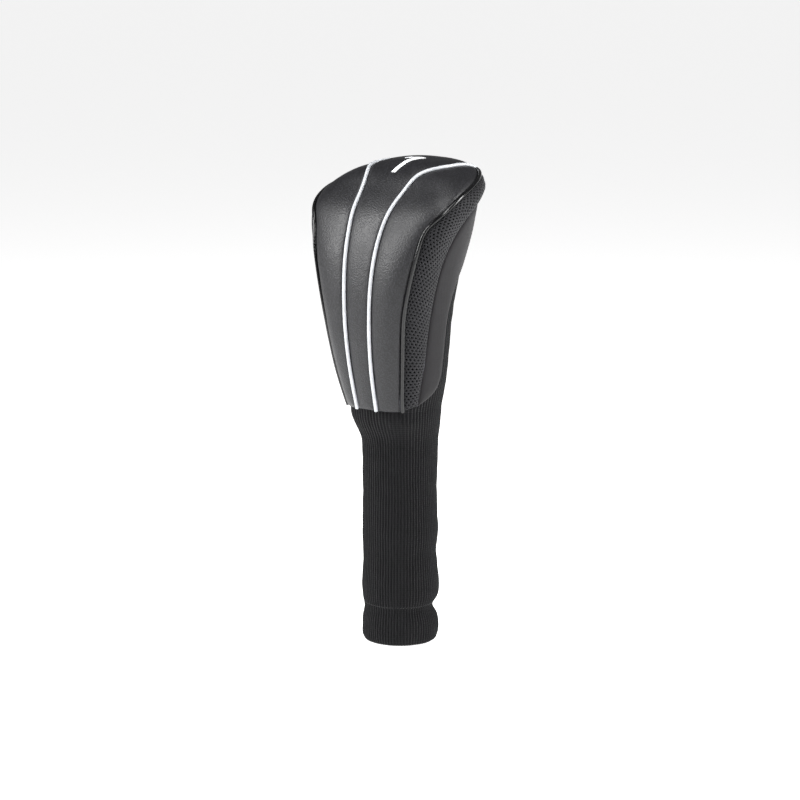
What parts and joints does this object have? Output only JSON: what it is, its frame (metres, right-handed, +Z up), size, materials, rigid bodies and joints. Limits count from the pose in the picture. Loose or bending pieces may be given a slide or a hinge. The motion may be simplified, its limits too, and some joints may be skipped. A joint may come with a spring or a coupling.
{
  "type": "driver head cover",
  "caption": "Padded golf driver head cover: leather crown panels with piping, mesh side gussets, and a long rib-knit sleeve below.",
  "frame": {"origin": "centre of the sleeve's mouth, in the plane of its folded hem", "axes": "+Z up along the sleeve towards the crown's top, -Y towards the crown's front, +X to the right seen from the front"},
  "size_m": [0.1382, 0.1104, 0.377],
  "materials": {
    "crown_leather": "fine pebbled synthetic leather, satin",
    "foam": "open-cell padding foam",
    "lining": "short-pile fleece",
    "white_piping": "glossy white coated strip",
    "cord": "twisted filler cord",
    "edge_piping": "glossy black coated strip",
    "spacer_mesh": "knitted spacer mesh with round holes",
    "back_panel": "smooth matte coated fabric",
    "rib_knit": "one-by-one rib knit",
    "thread": "twisted sewing thread",
    "tape": "woven binding tape",
    "number": "raised white numeral"
  },
  "bodies": {
    "root": {"crown_panel_left": "crown_leather", "crown_panel_centre": "crown_leather", "crown_panel_right": "crown_leather", "crown_foam_left": "foam", "crown_foam_centre": "foam", "crown_foam_right": "foam", "crown_lining": "lining", "lower_lining": "lining", "white_piping_left": "white_piping", "white_piping_right": "white_piping", "white_piping_cord_left": "cord", "white_piping_cord_right": "cord", "edge_piping": "edge_piping", "edge_piping_cord": "cord", "mesh_gusset_left": "spacer_mesh", "mesh_gusset_right": "spacer_mesh", "back_panel": "back_panel", "back_foam": "foam", "knit_sleeve": "rib_knit", "hem_thread": "thread", "neck_tape": "tape", "number_one": "number"}
  },
  "joints": []
}
